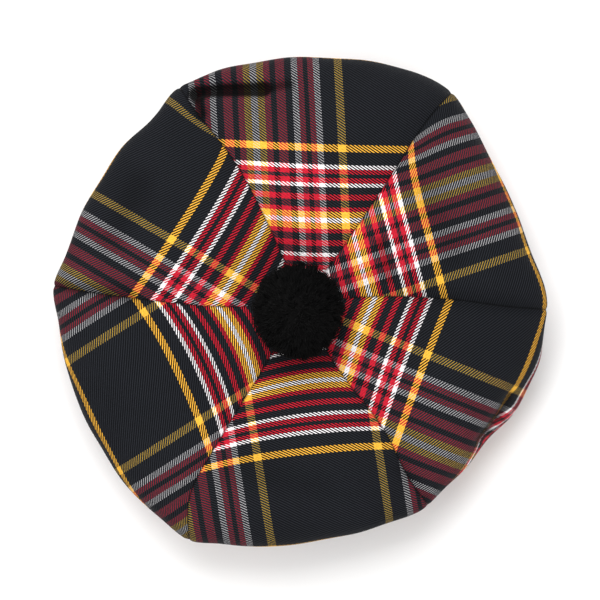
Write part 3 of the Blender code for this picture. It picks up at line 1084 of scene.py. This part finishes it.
def heart():
    """The dense middle of the pompom, where the yarn is tied: a lumpy round body."""
    rise = np.linspace(0, math.pi, HEART_ROWS)[1:-1, None]
    turn = np.linspace(0, math.tau, HEART_CUTS, endpoint=False)
    lumps = np.sin(LUMPS_ROUND * turn + LUMPS_SLANT * rise) * np.sin(LUMPS_UP * rise)
    size = 1 + LUMP_RISE * lumps
    ball = turned(np.sin(rise) * size, turn, np.cos(rise) * size).reshape(-1, 3)
    ball = np.concatenate((ball, ((0, 0, 1), (0, 0, -1))))
    points = above_crown(ball * POMPOM_RADII * HEART_SHARE + POMPOM_CENTRE)
    grid = np.arange((HEART_ROWS - 2) * HEART_CUTS).reshape(-1, HEART_CUTS)
    beside = np.roll(grid, -1, axis=1)
    quads = np.stack((grid[:-1], grid[1:], beside[1:], beside[:-1]), axis=-1).reshape(-1, 4)
    top, bottom = len(points) - 2, len(points) - 1
    caps = [(top, a, b) for a, b in zip(grid[0].tolist(), beside[0].tolist())]
    caps += [(bottom, b, a) for a, b in zip(grid[-1].tolist(), beside[-1].tolist())]
    return points, quads.tolist() + caps


def pompom(yarn):
    """Thousands of yarn ends gathered in locks round a dense heart, and fine wisps beyond them."""
    rng = np.random.default_rng(POMPOM_SEED)
    locks = even_directions(POMPOM_LOCKS)
    loose = scattered(YARN_ENDS, rng)
    nearest = np.argmax(loose @ locks.T, axis=1)
    lean = rng.uniform(*LOCK_LEAN, (YARN_ENDS.count, 1))
    gathered = unit(loose + (locks[nearest] - loose) * lean)
    lock_reach = rng.uniform(*LOCK_REACH, POMPOM_LOCKS)
    in_middle = np.sum(gathered * locks[nearest], axis=1) > LOCK_MIDDLE_COSINE
    reach = lock_reach[nearest] * np.where(in_middle, 1.0, LOCK_SIDE_REACH)
    reach = reach + rng.normal(size=YARN_ENDS.count) * YARN_UNEVENNESS
    points, faces = strands(YARN_ENDS, gathered, reach, rng)
    body, body_faces = heart()
    faces = faces.tolist() + [tuple(v + len(points) for v in face) for face in body_faces]
    add_piece(
        "yarn_pompom",
        np.concatenate((points, body)).tolist(),
        faces,
        material=yarn,
        node="pompom",
    )

    directions = scattered(WISPS, rng)
    reach = rng.uniform(*WISP_REACH, WISPS.count)
    points, faces = strands(WISPS, directions, reach, rng)
    add_piece(
        "pompom_wisps",
        points.tolist(),
        faces.tolist(),
        material=yarn,
    )


# ---- studio -------------------------------------------------------------------------------------
# The camera looks straight down. A pixel of the photo is PHOTO_SCALE wide at RIM_HEIGHT.
CAMERA_HEIGHT = 2.0
CAMERA_ASIDE = (-0.1 * MM, 0.6 * MM)
PHOTO_SIZE = 600
PHOTO_SCALE = 0.572 * MM
RIM_HEIGHT = 27.0 * MM
SENSOR_WIDTH = 36.0

# place and size in metres, watts: how strong.
SoftBox = namedtuple("SoftBox", "name place size watts")
SOFT_BOXES = (
    SoftBox("key", (-0.35, 1.3, 2.1), 1.6, 54.0),
    SoftBox("fill", (0.9, -1.3, 1.9), 1.8, 22.0),
    SoftBox("side", (-1.2, -0.3, 2.2), 1.4, 16.0),
)
SURROUND = {"Color": (1.0, 1.0, 1.0, 1.0), "Strength": 0.45}
FLOOR_SIZE = 6.0
FLOOR_COLOUR = (0.90, 0.90, 0.895, 1.0)


def camera():
    """Straight above the crown, framing the rim at the photo's scale."""
    data = bpy.data.cameras.new("camera")
    data.sensor_width = SENSOR_WIDTH
    data.lens = SENSOR_WIDTH * (CAMERA_HEIGHT - RIM_HEIGHT) / (PHOTO_SIZE * PHOTO_SCALE)
    made = bpy.data.objects.new("camera", data)
    made.location = (*CAMERA_ASIDE, CAMERA_HEIGHT)
    bpy.context.collection.objects.link(made)
    bpy.context.scene.camera = made


def soft_light(box):
    """A square soft box that faces the hat."""
    data = bpy.data.lights.new(box.name, "AREA")
    data.shape = "SQUARE"
    data.size = box.size
    data.energy = box.watts
    made = bpy.data.objects.new(box.name, data)
    made.location = box.place
    made.rotation_euler = (-Vector(box.place)).to_track_quat("-Z", "Y").to_euler()
    bpy.context.collection.objects.link(made)


def pale_floor():
    """A square of plain pale floor round the hat's axis."""
    finish = Finish("pale_floor")
    finish.set(Base_Color=FLOOR_COLOUR, Roughness=0.9, Specular_IOR_Level=0.1)
    half = FLOOR_SIZE / 2
    corners = [(-half, -half, 0), (half, -half, 0), (half, half, 0), (-half, half, 0)]
    mesh = bpy.data.meshes.new("floor")
    mesh.from_pydata(corners, [], [(0, 1, 2, 3)])
    mesh.materials.append(finish.material)
    floor = bpy.data.objects.new("floor", mesh)
    bpy.context.collection.objects.link(floor)


def studio():
    """A pale floor, three soft boxes and an even pale surround."""
    pale_floor()
    for box in SOFT_BOXES:
        soft_light(box)
    world = bpy.data.worlds.new("surround")
    world.use_nodes = True
    for name, value in SURROUND.items():
        world.node_tree.nodes["Background"].inputs[name].default_value = value
    bpy.context.scene.world = world
    bpy.context.scene.view_settings.view_transform = "Standard"


def dress():
    """Make every piece of the hat, then the studio round it."""
    for index in range(len(GORES)):
        crown_gore(index, tartan(index))
    headband(black_cloth())
    thread = sewing_thread()
    for row in STITCH_ROWS:
        stitch_row(row, thread)
    pompom(pompom_yarn())
    studio()
    camera()


dress()
